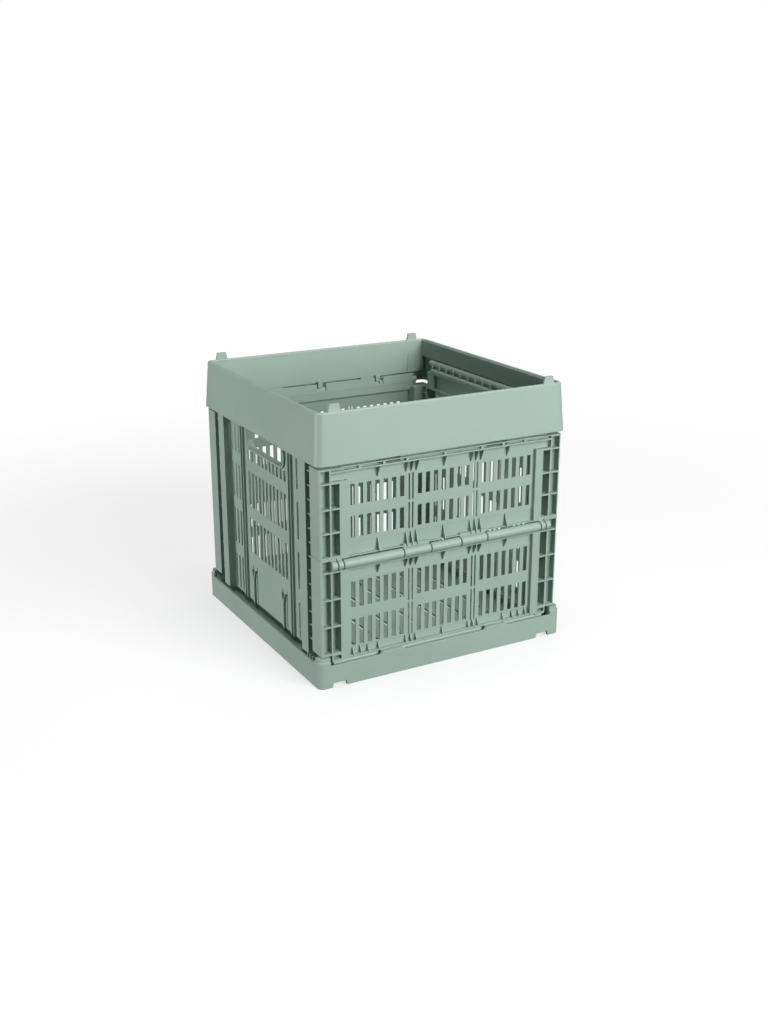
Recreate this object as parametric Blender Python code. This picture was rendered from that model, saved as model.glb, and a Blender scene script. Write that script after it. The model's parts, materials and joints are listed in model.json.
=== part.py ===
"""Collapsible storage crate: base tray, rim collar, two hinged end panels, and front and back walls that
each fold in the middle. X runs along the front wall, Y to the back, Z up, and the origin is under the
base's centre.

A wall's shapes are given once, by their distance out from the crate's centre plane, and `side` (-1 or 1)
puts them at the front or the back; an end panel's shapes are put at the left or the right the same way.
"""

from math import pi

import bmesh
import bpy
from mathutils import Matrix, Vector

# Overall sizes, in metres.
HALF_SIDE = 0.1725  # half of the square base
HALF_WALL = 0.1665  # the walls' outer plane
SKIN = 0.0025  # thickness of a moulded wall
REACH = 0.010  # how far a cutter runs past the face it starts from
FUSE = 0.001  # how far a joined shape runs into the one it is joined to
STEP = 0.0005  # the small step between faces that would otherwise lie in one plane
CORNER_SEGMENTS = 4
PARALLEL = 0.9  # an edge counts as running along an axis above this cosine

# Base tray.
BASE_TOP = 0.033
BASE_SKIRT = 0.003
BASE_CORNER = 0.006
FLOOR = (0.004, 0.007)
END_LIP_TOP = 0.030
DIP_TOP = 0.028
TAB_TOP = 0.0315
CORNER_POST = 0.157  # where the full-height corners of the skirt start
NOTCH = (0.136, 0.155)
NOTCH_HEIGHT = 0.006
LUG_SOCKET = (0.160, 0.1685)  # distance out of the holes that take the lugs of the crate below
SEAT_HALF = 0.028
SEAT_TOP = 0.0195
FLOOR_SLOT_ROWS = 4
FLOOR_SLOT_COLUMNS = 8
FLOOR_SLOT = (0.0022, 0.030)  # half width and half length
FLOOR_SLOT_PITCH = (0.034, 0.074)
FLOOR_RIBS_X = (-0.102, 0.0, 0.102)
FLOOR_RIBS_Y = (-0.074, 0.0, 0.074)
FLOOR_RIB_HALF = 0.0012

# Rim collar.
RIM = (0.2697, 0.3305)
RIM_BOTTOM_HALF = 0.1702
RIM_TOP_HALF = 0.1664
RIM_SKIN = 0.003
RIM_CORNER = 0.008
RIM_MOUTH = 0.1614  # half of the opening inside the top edge
RIM_TOP_EDGE = 0.0025
SKIRT_BOTTOM = 0.2845
SKIRT_SKIN = 0.002
END_SKIRT_GAP = 0.0008  # between an end panel's barrels and the skirt above them
LUG = (0.137, 0.153)
LUG_TOP = 0.3395
LUG_TAPER = 0.0022
LUG_OUTER = 0.1658

# Hinge axes: distance out from the centre plane, and height.
BASE_HINGE = (0.160, 0.026)
MID_HINGE = (0.1665, 0.150)
RIM_HINGE = (0.160, 0.274)
LEFT_END_HINGE = (0.158, 0.318)
RIGHT_END_HINGE = (0.158, 0.301)
BASE_BARREL = 0.005
MID_BARREL = 0.006
RIM_BARREL = 0.0045
END_BARREL = 0.0045
PIN_RADIUS = 0.0022
BORE_RADIUS = 0.0027
BARREL_SIDES = 14
PIN_SIDES = 8
PIN_MIDDLE_GAP = 0.001
LEFT_BRACKET_OUT = 0.1652
RIGHT_BRACKET_OUT = 0.1665

# Half lengths of the bores and of the pins in them. The outermost barrels are closed at their far ends.
FIXED_BORE = 0.100
WALL_BORE = 0.149
MID_BORE = 0.152
BRACKET_BORE = 0.1275
END_BORE = 0.140
WALL_PIN = 0.1485
MID_PIN = 0.1515
END_PIN = 0.127

# Where the barrels of each hinge start and end, along the hinge from the middle of the crate.
WALL_KNUCKLES = ((0.0, 0.0592), (0.0888, 0.150))
FIXED_KNUCKLE = (0.060, 0.088)
MID_LOWER_KNUCKLES = ((0.0, 0.0208), (0.0586, 0.1378), (0.1456, 0.153))
MID_UPPER_KNUCKLES = ((0.0212, 0.0582), (0.1382, 0.1452))
END_KNUCKLES = ((0.0, 0.0605), (0.0715, 0.1195))
END_BRACKETS = ((0.061, 0.071), (0.120, 0.130))

# Folding walls.
COLUMN = (0.138, 0.1665)  # along the wall
COLUMN_INNER = 0.1425  # distance out of the columns' inner face
POCKETS = ((0.1405, 0.1508), (0.1530, 0.1640))
LOWER_FINS = ((0.041, 0.073), (0.0755, 0.107), (0.1095, 0.1408), (0.1433, 0.156))
UPPER_FINS = ((0.1613, 0.1883), (0.1908, 0.2165), (0.219, 0.247), (0.2495, 0.2635))
LOWER_COLUMN = (0.0385, 0.1585)
UPPER_COLUMN = (0.1589, 0.266)
STRIP = (0.1295, 0.140)
PANEL_OUTER = 0.162  # the window panel lies back from the outer plane
LOWER_PANEL = (0.031, 0.1435)
UPPER_PANEL = (0.1565, 0.262)
LOWER_SHELVES = ((0.031, 0.033), (0.1415, 0.1435))
UPPER_SHELVES = ((0.1565, 0.1585), (0.260, 0.262))
LOWER_WINDOWS = ((0.0433, 0.0769), (0.0918, 0.1246))
UPPER_WINDOWS = ((0.1788, 0.2046), (0.218, 0.2432))
BAY_PITCH = 0.0893
WINDOW_PITCH = 0.01087
WINDOW_WIDTH = 0.0055
WINDOWS_PER_BAY = 7
NECK_HALF = 0.0015

# End panels.
FLANGE = (0.1135, 0.131)
END_SHEET = (0.1541, 0.1566)
END_INNER = 0.150
END_BOTTOM = 0.0200
END_TOP = 0.2685
END_ROWS = ((0.096, 0.143), (0.159, 0.2065), (0.222, 0.235))
END_COLUMNS = 11
END_PITCH = 0.0108
END_SLOT = 0.005
NARROW_COLUMNS = (0.088, 0.0985, 0.109)
NARROW_SLOT = 0.004
NARROW_ROWS = ((0.031, 0.078), (0.095, 0.143), (0.159, 0.206), (0.222, 0.259))
HAND_HOLE = (0.056, 0.239, 0.2715)  # half width, bottom, top
HAND_HOLE_CORNER = 0.011
LATCH_PLACE = 0.046
LATCH_HALF = 0.005
LATCH_SLOT = 0.003
LATCH = (0.030, 0.079)
END_SHELVES = ((0.020, 0.0225), (0.266, 0.2685))
RUNG_TIP = 0.1396
RUNG = (0.162, 0.164)
RUNG_HALF = 0.0008
RUNG_PITCH = 0.01725
RUNG_TOP = 0.2575
RUNGS = 13

SAGE = (0.40, 0.53, 0.47, 1.0)
PIN_GREEN = (0.37, 0.49, 0.43, 1.0)

for old in list(bpy.data.objects):
    bpy.data.objects.remove(old, do_unlink=True)

crate = bpy.data.collections.new("storage_crate")
helpers = bpy.data.collections.new("helpers")
bpy.context.scene.collection.children.link(crate)
bpy.context.scene.collection.children.link(helpers)
helpers.hide_render = True


def make_material(name, colour, roughness):
    material = bpy.data.materials.new(name)
    material.use_nodes = True
    shader = material.node_tree.nodes["Principled BSDF"]
    shader.inputs["Base Color"].default_value = colour
    shader.inputs["Roughness"].default_value = roughness
    shader.inputs["Metallic"].default_value = 0.0
    return material


crate_plastic = make_material("crate_plastic", SAGE, 0.55)
pin_plastic = make_material("pin_plastic", PIN_GREEN, 0.45)


def add_block(bm, x, y, z):
    """Adds a box that reaches from one value to the other of each pair, in either order."""
    spans = [sorted(pair) for pair in (x, y, z)]
    centre = Vector([(low + high) / 2 for low, high in spans])
    size = Vector([high - low for low, high in spans])
    verts = bmesh.ops.create_cube(bm, size=1.0, matrix=Matrix.LocRotScale(centre, None, size))["verts"]
    # Exactly equal values let the Booleans see that two faces lie in one plane.
    for vert in verts:
        for axis, (low, high) in enumerate(spans):
            vert.co[axis] = low if vert.co[axis] < centre[axis] else high
    return verts


def add_rounded_block(bm, x, y, z, radius, axis=2):
    """Adds a box whose edges along one axis are rounded."""
    verts = add_block(bm, x, y, z)
    edges = {edge for vert in verts for edge in vert.link_edges}
    along = [e for e in edges if abs((e.verts[0].co - e.verts[1].co).normalized()[axis]) > PARALLEL]
    bmesh.ops.bevel(
        bm, geom=along, offset=radius, segments=CORNER_SEGMENTS, profile=0.5, affect="EDGES"
    )


def add_tapered_block(bm, half_bottom, half_top, z, radius):
    """Adds a square block with rounded upright edges and another size at the top."""
    add_rounded_block(bm, (-half_bottom, half_bottom), (-half_bottom, half_bottom), z, radius)
    for vert in bm.verts:
        if vert.co.z > (z[0] + z[1]) / 2:
            vert.co.x *= half_top / half_bottom
            vert.co.y *= half_top / half_bottom


def add_cylinder(bm, axis, span, centre, radius, sides, spin=0.0):
    """Adds a cylinder along "X" or "Y". `centre` is its axis line's other horizontal place and its height."""
    start, end = sorted(span)
    across, height = centre
    middle = (start + end) / 2
    if axis == "X":
        turn = Matrix.Rotation(pi / 2, 4, "Y")
        place = Vector((middle, across, height))
    else:
        turn = Matrix.Rotation(pi / 2, 4, "X")
        place = Vector((across, middle, height))
    verts = bmesh.ops.create_cone(
        bm,
        cap_ends=True,
        segments=sides,
        radius1=radius,
        radius2=radius,
        depth=end - start,
        matrix=Matrix.Translation(place) @ turn @ Matrix.Rotation(spin, 4, "Z"),
    )["verts"]
    along = "XYZ".index(axis)
    for vert in verts:
        vert.co[along] = start if vert.co[along] < middle else end


def make_object(name, bm, collection, origin=(0.0, 0.0, 0.0)):
    bmesh.ops.translate(bm, verts=bm.verts, vec=-Vector(origin))
    mesh = bpy.data.meshes.new(name)
    bm.to_mesh(mesh)
    bm.free()
    obj = bpy.data.objects.new(name, mesh)
    obj.location = origin
    collection.objects.link(obj)
    return obj


def make_helper(name, bm, origin):
    helper = make_object(name, bm, helpers, origin)
    helper.hide_render = True
    helper.display_type = "WIRE"
    return helper


def make_piece(name, material, origin, body, steps):
    """Makes a node from its first solid, then joins or cuts the shapes of each step in turn."""
    piece = make_object(name, body, crate, origin)
    piece.data.materials.append(material)
    for number, (operation, shapes) in enumerate(steps):
        modifier = piece.modifiers.new(f"{operation.lower()}_{number}", "BOOLEAN")
        modifier.operation = operation
        modifier.solver = "EXACT"
        modifier.object = make_helper(f"{name}_{operation.lower()}_{number}", shapes, origin)
    return piece


def blocks(*boxes):
    """One set of boxes that don't touch each other, each given as its x, y and z spans."""
    bm = bmesh.new()
    for box in boxes:
        add_block(bm, *box)
    return bm


def both_ways(pair):
    """The span as it stands and mirrored to the other side of the middle; a span from 0 runs right across."""
    low, high = pair
    return [(-high, high)] if low == 0.0 else [(low, high), (-high, -low)]


def knuckles(axis, groups, place, radius, web, outward):
    """The steps that add a hinge's barrels and the webs (distance out, height) that hold them."""
    barrels = bmesh.new()
    webs = bmesh.new()
    web_out, web_height = web
    across = (outward * web_out[0], outward * web_out[1])
    for span in [span for pair in groups for span in both_ways(pair)]:
        add_cylinder(barrels, axis, span, (outward * place[0], place[1]), radius, BARREL_SIDES)
        if axis == "X":
            add_block(webs, span, across, web_height)
        else:
            add_block(webs, across, span, web_height)
    return [("UNION", webs), ("UNION", barrels)]


def hinge_bore(axis, place, outward, half_length):
    # Half a step of spin keeps the bore's corners off the planes through its axis.
    bore = bmesh.new()
    span = (-half_length, half_length)
    centre = (outward * place[0], place[1])
    add_cylinder(bore, axis, span, centre, BORE_RADIUS, PIN_SIDES, pi / PIN_SIDES)
    return bore


def make_base_tray():
    body = bmesh.new()
    full = (-HALF_SIDE, HALF_SIDE)
    add_rounded_block(body, full, full, (0.0, BASE_TOP), BASE_CORNER)

    inside = HALF_SIDE - BASE_SKIRT
    hollow = bmesh.new()
    for z in ((FLOOR[1], BASE_TOP + REACH), (-REACH, FLOOR[0])):
        add_rounded_block(hollow, (-inside, inside), (-inside, inside), z, BASE_CORNER - BASE_SKIRT)

    # The skirt's top edge is low where a wall's hinge dips into it, and higher at the tabs and corners.
    edge = bmesh.new()
    tabs = bmesh.new()
    post = CORNER_POST
    tab_start, tab_end = FIXED_KNUCKLE
    outside = (inside - REACH, HALF_SIDE + REACH)
    for side in (-1, 1):
        across = (side * outside[0], side * outside[1])
        for low, high in ((-post, -tab_end), (-tab_start, tab_start), (tab_end, post)):
            add_block(edge, (low, high), across, (DIP_TOP, BASE_TOP + REACH))
        add_block(edge, across, (-post, post), (END_LIP_TOP, BASE_TOP + REACH))
        for low, high in both_ways(NOTCH):
            add_block(edge, (low, high), across, (-REACH, NOTCH_HEIGHT))
        for low, high in both_ways((tab_start - STEP, tab_end + STEP)):
            add_block(tabs, (low, high), across, (TAB_TOP, BASE_TOP + REACH))

    steps = [("DIFFERENCE", hollow), ("DIFFERENCE", edge), ("DIFFERENCE", tabs)]
    ends = (-inside - BASE_SKIRT / 2, inside + BASE_SKIRT / 2)
    across_x = [(place - FLOOR_RIB_HALF, place + FLOOR_RIB_HALF) for place in FLOOR_RIBS_X]
    across_y = [(place - FLOOR_RIB_HALF, place + FLOOR_RIB_HALF) for place in FLOOR_RIBS_Y]
    steps.append(("UNION", blocks(*[(rib, ends, (0.0, FLOOR[1] - FUSE)) for rib in across_x])))
    steps.append(("UNION", blocks(*[(ends, rib, (STEP, FLOOR[1] - FUSE - STEP)) for rib in across_y])))
    seats = []
    for side in (-1, 1):
        across = (side * (inside + FUSE), side * END_INNER)
        seats.append((across, (-SEAT_HALF, SEAT_HALF), (FLOOR[1] - FUSE, SEAT_TOP)))
    steps.append(("UNION", blocks(*seats)))
    web = (
        (BASE_HINGE[0], inside + FUSE),
        (BASE_HINGE[1] - BASE_BARREL, BASE_HINGE[1] + BASE_BARREL),
    )
    for side in (-1, 1):
        steps += knuckles("X", (FIXED_KNUCKLE,), BASE_HINGE, BASE_BARREL, web, side)

    slots = bmesh.new()
    depth = (-REACH, FLOOR[1] + REACH)
    for side in (-1, 1):
        for span in both_ways(NOTCH):
            add_block(slots, span, (side * LUG_SOCKET[0], side * LUG_SOCKET[1]), depth)
    half_width, half_length = FLOOR_SLOT
    for row in range(FLOOR_SLOT_ROWS):
        y = (row - (FLOOR_SLOT_ROWS - 1) / 2) * FLOOR_SLOT_PITCH[1]
        for column in range(FLOOR_SLOT_COLUMNS):
            x = (column - (FLOOR_SLOT_COLUMNS - 1) / 2) * FLOOR_SLOT_PITCH[0]
            along_y = (y - half_length, y + half_length)
            add_block(slots, (x - half_width, x + half_width), along_y, depth)

    steps.append(("DIFFERENCE", slots))
    for side in (-1, 1):
        steps.append(("DIFFERENCE", hinge_bore("X", BASE_HINGE, side, FIXED_BORE)))
    make_piece("base_tray", crate_plastic, (0.0, 0.0, 0.0), body, steps)


def make_rim_collar():
    body = bmesh.new()
    add_tapered_block(body, RIM_BOTTOM_HALF, RIM_TOP_HALF, RIM, RIM_CORNER)

    hollow = bmesh.new()
    add_tapered_block(
        hollow,
        RIM_BOTTOM_HALF - RIM_SKIN,
        RIM_TOP_HALF - RIM_SKIN,
        (RIM[0] - STEP, RIM[1] - RIM_TOP_EDGE),
        RIM_CORNER - RIM_SKIN,
    )
    mouth = bmesh.new()
    span = (-RIM_MOUTH, RIM_MOUTH)
    add_block(mouth, span, span, (RIM[1] - REACH, RIM[1] + REACH))

    steps = [("DIFFERENCE", hollow), ("DIFFERENCE", mouth)]
    skirt = (RIM_MOUTH - SKIRT_SKIN, RIM_MOUTH)
    skirts = bmesh.new()
    lugs = bmesh.new()
    for side in (-1, 1):
        across = (side * skirt[0], side * skirt[1])
        height = (SKIRT_BOTTOM, RIM[1] - RIM_TOP_EDGE / 2)
        add_block(skirts, (-RIM_MOUTH - FUSE, RIM_MOUTH + FUSE), across, height)
        across = (side * RIM_MOUTH, side * LUG_OUTER)
        for low, high in both_ways(LUG):
            lug = add_block(lugs, (low, high), across, (RIM[1] - FUSE, LUG_TOP))
            for vert in lug:
                if vert.co.z > RIM[1]:
                    vert.co.x += LUG_TAPER if vert.co.x < (low + high) / 2 else -LUG_TAPER
    end_skirts = bmesh.new()
    for side, place in ((-1, LEFT_END_HINGE), (1, RIGHT_END_HINGE)):
        height = (place[1] + END_BARREL + END_SKIRT_GAP, RIM[1] - RIM_TOP_EDGE + STEP)
        reach = RIM_MOUTH - SKIRT_SKIN / 2
        add_block(end_skirts, (side * skirt[0], side * skirt[1]), (-reach, reach), height)
    steps += [("UNION", skirts), ("UNION", end_skirts), ("UNION", lugs)]
    web = ((skirt[0], RIM_HINGE[0] + NECK_HALF), (RIM_HINGE[1], SKIRT_BOTTOM + FUSE))
    for side in (-1, 1):
        steps += knuckles("X", (FIXED_KNUCKLE,), RIM_HINGE, RIM_BARREL, web, side)
    ends = ((-1, LEFT_END_HINGE, LEFT_BRACKET_OUT), (1, RIGHT_END_HINGE, RIGHT_BRACKET_OUT))
    for side, place, out in ends:
        web = ((place[0], out), (place[1] - END_BARREL, place[1] + END_BARREL))
        steps += knuckles("Y", END_BRACKETS, place, END_BARREL, web, side)
    for side in (-1, 1):
        steps.append(("DIFFERENCE", hinge_bore("X", RIM_HINGE, side, FIXED_BORE)))
    for side, place, _ in ends:
        steps.append(("DIFFERENCE", hinge_bore("Y", place, side, BRACKET_BORE)))
    make_piece("rim_collar", crate_plastic, (0.0, -RIM_HINGE[0], RIM_HINGE[1]), body, steps)


def wall_windows(side, rows):
    """The upright slots of the three window bays."""
    slots = bmesh.new()
    through = (side * (PANEL_OUTER - SKIN - REACH / 4), side * (PANEL_OUTER + REACH / 4))
    for bay in (-1, 0, 1):
        for column in range(WINDOWS_PER_BAY):
            x = bay * BAY_PITCH + (column - (WINDOWS_PER_BAY - 1) / 2) * WINDOW_PITCH
            for row in rows:
                add_block(slots, (x - WINDOW_WIDTH / 2, x + WINDOW_WIDTH / 2), through, row)
    return slots


def wall_frame(side, column, panel, shelves):
    """The deep columns at both ends of a wall half, the smooth strips beside them, and the shelves between."""
    def outward(near, far):
        return (side * near, side * far)

    columns = [(span, outward(COLUMN_INNER, HALF_WALL), column) for span in both_ways(COLUMN)]
    strips = [(span, outward(HALF_WALL - SKIN, HALF_WALL), panel) for span in both_ways(STRIP)]
    edge = (STRIP[0], STRIP[0] + SKIN)
    across = outward(PANEL_OUTER - SKIN / 2, HALF_WALL - SKIN / 2)
    returns = [(span, across, panel) for span in both_ways(edge)]
    reach = STRIP[0] + SKIN / 2
    across = outward(PANEL_OUTER - SKIN / 2, HALF_WALL - STEP)
    rails = [((-reach, reach), across, shelf) for shelf in shelves]
    return [("UNION", blocks(*group)) for group in (columns, strips, returns, rails)]


def wall_pockets(side, fins):
    """The pockets between the columns' fins, open to the outside."""
    pockets = bmesh.new()
    across = (side * (COLUMN_INNER + SKIN), side * (HALF_WALL + REACH))
    for pair in POCKETS:
        for low, high in both_ways(pair):
            for fin in fins:
                add_block(pockets, (low, high), across, fin)
    return pockets


def wall_panel(side, panel):
    body = bmesh.new()
    reach = COLUMN[0] + SKIN / 2
    add_block(body, (-reach, reach), (side * (PANEL_OUTER - SKIN), side * PANEL_OUTER), panel)
    return body


def make_lower_wall(name, side):
    # Room in the columns for the upper wall's outer barrels and the foot of its panel.
    relief = bmesh.new()
    across = (side * (PANEL_OUTER - SKIN - STEP), side * (HALF_WALL + REACH))
    height = (LOWER_PANEL[1] + STEP, LOWER_COLUMN[1] + REACH)
    for span in both_ways((STRIP[1] - SKIN, MID_UPPER_KNUCKLES[1][1] + STEP)):
        add_block(relief, span, across, height)

    steps = wall_frame(side, LOWER_COLUMN, LOWER_PANEL, LOWER_SHELVES)
    steps += [("DIFFERENCE", wall_pockets(side, LOWER_FINS)), ("DIFFERENCE", relief)]
    across = (MID_HINGE[0] - MID_BARREL + 2 * STEP, HALF_WALL - STEP / 2)
    web = (across, (LOWER_SHELVES[1][0], MID_HINGE[1]))
    steps += knuckles("X", MID_LOWER_KNUCKLES, MID_HINGE, MID_BARREL, web, side)
    across = (PANEL_OUTER - SKIN - STEP, PANEL_OUTER + STEP)
    web = (across, (BASE_HINGE[1], LOWER_SHELVES[0][1] - STEP))
    steps += knuckles("X", WALL_KNUCKLES, BASE_HINGE, BASE_BARREL, web, side)
    steps += [
        ("DIFFERENCE", wall_windows(side, LOWER_WINDOWS)),
        ("DIFFERENCE", hinge_bore("X", MID_HINGE, side, MID_BORE)),
        ("DIFFERENCE", hinge_bore("X", BASE_HINGE, side, WALL_BORE)),
    ]
    origin = (0.0, side * BASE_HINGE[0], BASE_HINGE[1])
    make_piece(name, crate_plastic, origin, wall_panel(side, LOWER_PANEL), steps)


def make_upper_wall(name, side):
    steps = wall_frame(side, UPPER_COLUMN, UPPER_PANEL, UPPER_SHELVES)
    steps.append(("DIFFERENCE", wall_pockets(side, UPPER_FINS)))
    across = (MID_HINGE[0] - MID_BARREL + 2 * STEP, HALF_WALL - STEP / 2)
    web = (across, (MID_HINGE[1], UPPER_COLUMN[0] + FUSE))
    steps += knuckles("X", MID_UPPER_KNUCKLES, MID_HINGE, MID_BARREL, web, side)
    across = (RIM_HINGE[0] - NECK_HALF, RIM_HINGE[0] + NECK_HALF)
    web = (across, (UPPER_SHELVES[1][0] + STEP, RIM_HINGE[1]))
    steps += knuckles("X", WALL_KNUCKLES, RIM_HINGE, RIM_BARREL, web, side)
    steps += [
        ("DIFFERENCE", wall_windows(side, UPPER_WINDOWS)),
        ("DIFFERENCE", hinge_bore("X", MID_HINGE, side, MID_BORE)),
        ("DIFFERENCE", hinge_bore("X", RIM_HINGE, side, WALL_BORE)),
    ]
    origin = (0.0, side * MID_HINGE[0], MID_HINGE[1])
    make_piece(name, crate_plastic, origin, wall_panel(side, UPPER_PANEL), steps)


def make_end_panel(name, side, hinge):
    body = bmesh.new()
    sheet = (side * END_SHEET[0], side * END_SHEET[1])
    reach = FLANGE[0] + SKIN / 2
    add_block(body, sheet, (-reach, reach), (END_BOTTOM, END_TOP))

    height = (END_BOTTOM, END_TOP)
    outer = side * HALF_WALL
    faces = [((outer, side * (HALF_WALL - SKIN)), span, height) for span in both_ways(FLANGE)]
    edge = (FLANGE[0], FLANGE[0] + SKIN)
    across = (side * (END_SHEET[0] + SKIN / 2), side * (HALF_WALL - SKIN / 2))
    inner_sides = [(across, span, height) for span in both_ways(edge)]
    edge = (FLANGE[1] - SKIN, FLANGE[1])
    across = (side * END_INNER, side * (HALF_WALL - SKIN / 2))
    outer_sides = [(across, span, height) for span in both_ways(edge)]
    shelf_span = (-FLANGE[1] + SKIN / 2, FLANGE[1] - SKIN / 2)
    shelves = [(across, shelf_span, shelf) for shelf in END_SHELVES]
    rungs = []
    for number in range(RUNGS):
        z = RUNG_TOP - number * RUNG_PITCH
        for span in both_ways((FLANGE[1] - SKIN / 2, RUNG_TIP)):
            rungs.append(((side * RUNG[0], side * RUNG[1]), span, (z - RUNG_HALF, z + RUNG_HALF)))
    # The arm between the barrels stays just below the rim's brackets.
    neck = (side * (hinge[0] - NECK_HALF), side * (hinge[0] + NECK_HALF))
    arm_top = hinge[1] - END_BARREL - 2 * STEP
    arm = [(neck, (-END_BRACKETS[1][0], END_BRACKETS[1][0]), (END_TOP - SKIN / 2, arm_top))]
    groups = (faces, inner_sides, outer_sides, shelves, rungs, arm)
    steps = [("UNION", blocks(*group)) for group in groups]
    across = (hinge[0] - NECK_HALF - STEP, hinge[0] + NECK_HALF + STEP)
    web = (across, (arm_top - SKIN, hinge[1]))
    steps += knuckles("Y", END_KNUCKLES, hinge, END_BARREL, web, side)

    slots = bmesh.new()
    through = (side * (END_SHEET[0] - REACH / 4), side * (END_SHEET[1] + REACH / 4))
    for column in range(END_COLUMNS):
        y = (column - (END_COLUMNS - 1) / 2) * END_PITCH
        for row in END_ROWS:
            add_block(slots, through, (y - END_SLOT / 2, y + END_SLOT / 2), row)
    for place in NARROW_COLUMNS:
        for low, high in both_ways((place - NARROW_SLOT / 2, place + NARROW_SLOT / 2)):
            for row in NARROW_ROWS:
                add_block(slots, through, (low, high), row)
    for middle in (-LATCH_PLACE, LATCH_PLACE):
        for edge in (-1, 1):
            near = middle + edge * LATCH_HALF
            add_block(slots, through, (near, near + edge * LATCH_SLOT), LATCH)

    hole = bmesh.new()
    half, bottom, top = HAND_HOLE
    around = (side * (END_INNER - REACH), side * (HALF_WALL + REACH))
    add_rounded_block(hole, around, (-half, half), (bottom, top), HAND_HOLE_CORNER, axis=0)

    steps += [("DIFFERENCE", slots), ("DIFFERENCE", hole)]
    steps.append(("DIFFERENCE", hinge_bore("Y", hinge, side, END_BORE)))
    make_piece(name, crate_plastic, (side * hinge[0], 0.0, hinge[1]), body, steps)


def make_pins(name, axis, place, outward, length):
    """Two pins, one pushed in from each end of the hinge."""
    for label, span in (("a", (-length, -PIN_MIDDLE_GAP)), ("b", (PIN_MIDDLE_GAP, length))):
        body = bmesh.new()
        add_cylinder(body, axis, span, (outward * place[0], place[1]), PIN_RADIUS, PIN_SIDES)
        line = (0.0, outward * place[0]) if axis == "X" else (outward * place[0], 0.0)
        make_piece(f"{name}_{label}", pin_plastic, (*line, place[1]), body, [])


make_base_tray()
make_rim_collar()
for wall, facing in (("front", -1), ("back", 1)):
    make_lower_wall(f"{wall}_lower_wall", facing)
    make_upper_wall(f"{wall}_upper_wall", facing)
    make_pins(f"{wall}_base_hinge_pin", "X", BASE_HINGE, facing, WALL_PIN)
    make_pins(f"{wall}_mid_hinge_pin", "X", MID_HINGE, facing, MID_PIN)
    make_pins(f"{wall}_rim_hinge_pin", "X", RIM_HINGE, facing, WALL_PIN)
for end, facing, end_hinge in (("left", -1, LEFT_END_HINGE), ("right", 1, RIGHT_END_HINGE)):
    make_end_panel(f"{end}_end_panel", facing, end_hinge)
    make_pins(f"{end}_end_hinge_pin", "Y", end_hinge, facing, END_PIN)
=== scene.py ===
"""The looks of a collapsible storage crate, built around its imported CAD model.

Each moulding is rebuilt with rounded edges, gussets, grooves and pockets, in the place of its CAD node.
Lengths are in millimetres until a piece is finished. X runs along the front wall, Y to the back and Z up.
A wall's shapes are given by their distance out from the centre plane, and `side` (-1 or 1) puts them at the
front or back, or at the left or right. A pair of numbers is a span unless its comment says otherwise.
"""

import json
from math import cos, pi, radians

import bmesh
import bpy
from mathutils import Matrix, Vector


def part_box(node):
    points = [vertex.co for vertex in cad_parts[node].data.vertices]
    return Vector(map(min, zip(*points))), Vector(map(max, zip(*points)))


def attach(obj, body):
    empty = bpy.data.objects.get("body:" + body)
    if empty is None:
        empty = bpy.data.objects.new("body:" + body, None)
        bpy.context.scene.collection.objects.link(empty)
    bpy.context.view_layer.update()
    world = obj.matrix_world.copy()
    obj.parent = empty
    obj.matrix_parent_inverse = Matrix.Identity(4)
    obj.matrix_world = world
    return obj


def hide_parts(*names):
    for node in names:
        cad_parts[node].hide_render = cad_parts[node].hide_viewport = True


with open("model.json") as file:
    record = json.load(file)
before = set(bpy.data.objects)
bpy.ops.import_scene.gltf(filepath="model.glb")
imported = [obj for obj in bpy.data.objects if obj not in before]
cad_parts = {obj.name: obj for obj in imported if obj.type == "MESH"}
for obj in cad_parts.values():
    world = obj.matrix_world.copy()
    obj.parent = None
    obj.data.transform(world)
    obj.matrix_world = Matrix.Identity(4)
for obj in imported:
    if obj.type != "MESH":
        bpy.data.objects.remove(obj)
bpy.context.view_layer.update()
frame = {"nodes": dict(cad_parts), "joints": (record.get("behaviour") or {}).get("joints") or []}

MM = 0.001


def box_mm(node):
    low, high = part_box(node)
    return low / MM, high / MM


def hinge_axis(joint_name):
    """(distance out from the centre plane, height) of a joint's axis."""
    place = next(Vector(j["pos_m"]) for j in frame["joints"] if j["name"] == joint_name) / MM
    return max(abs(place.x), abs(place.y)), place.z


# Places read from the frame.
HALF_SIDE = box_mm("base_tray")[1].x
BASE_TOP = box_mm("base_tray")[1].z
HALF_WALL = box_mm("front_lower_wall")[1].x
RIM_HALF = box_mm("rim_collar")[1].x
LUG_TOP = box_mm("rim_collar")[1].z
BASE_AXIS = hinge_axis("front_wall_fold")
MID_AXIS = hinge_axis("front_mid_fold")
RIM_AXIS = hinge_axis("rim_level")
END_AXES = {"left": hinge_axis("left_end_swing"), "right": hinge_axis("right_end_swing")}
END_BOTTOM = box_mm("left_end_panel")[0].z

# General.
WALLS = (("front", -1), ("back", 1))
ENDS = (("left", -1), ("right", 1))
SKIN = 2.5  # thickness of a moulded wall
FUSE = 0.6  # how far a joined shape runs into the one it is joined to
BITE = 1.0  # the same, where there is more to run into
REACH = 12.0  # how far a cutter runs past the face it starts from
SLOT_REACH = 3.0  # the same, for slots that have other shapes close by
GAP = 0.5  # room between a cutter and the shapes that it leaves
STEP = 0.3  # a small step between faces that would otherwise lie in one plane
NUDGE = 0.2  # a smaller one
HAIR = 0.05  # and the smallest
FINE_EDGE = 0.28  # width of the rounding on thin ribs and slots
BASE_EDGE = 0.45  # and on the base
RIM_FINE_EDGE = 0.4  # and on the rim
SHARP_ANGLE = radians(32)  # edges that turn more than this may be rounded
CORNER_TURN = radians(18)  # an outline that turns less than this is a round one
SOFT_TURN = radians(47)  # faces that meet at less than this are shaded as one surface
EDGE_ROOM = 2.3  # room that a rounded edge needs beside it, in widths of its rounding
MERGE = 0.0005  # vertices closer than this become one
NEARLY = 0.999
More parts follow.
